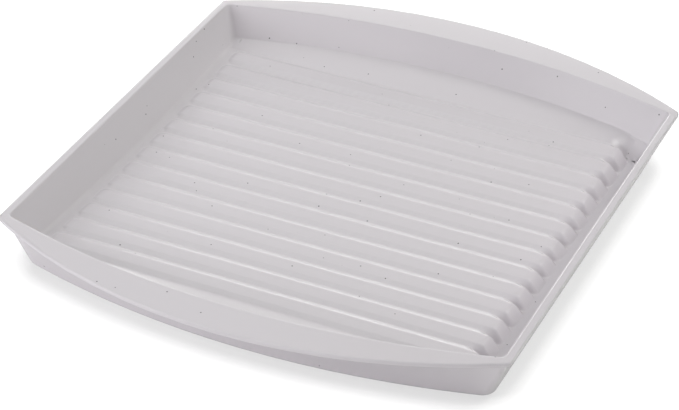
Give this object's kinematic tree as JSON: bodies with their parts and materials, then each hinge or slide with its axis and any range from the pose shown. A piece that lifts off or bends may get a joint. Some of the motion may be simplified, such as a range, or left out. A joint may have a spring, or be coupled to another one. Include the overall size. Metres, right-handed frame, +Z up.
{
  "type": "microwave bacon tray",
  "caption": "Shallow moulded tray with a ribbed draining floor, a grease trough along one side and a flat rim that widens into two curved handles.",
  "frame": {"origin": "centre of the tray on the surface it stands on", "axes": "+X along the ribs towards the trough, +Y across the ribs from handle to handle, +Z up"},
  "size_m": [0.258, 0.3078, 0.0285],
  "materials": {
    "speckled_plastic": "satin moulded, off-white with fine dark flecks"
  },
  "bodies": {
    "root": {"tray": "speckled_plastic"}
  },
  "joints": []
}
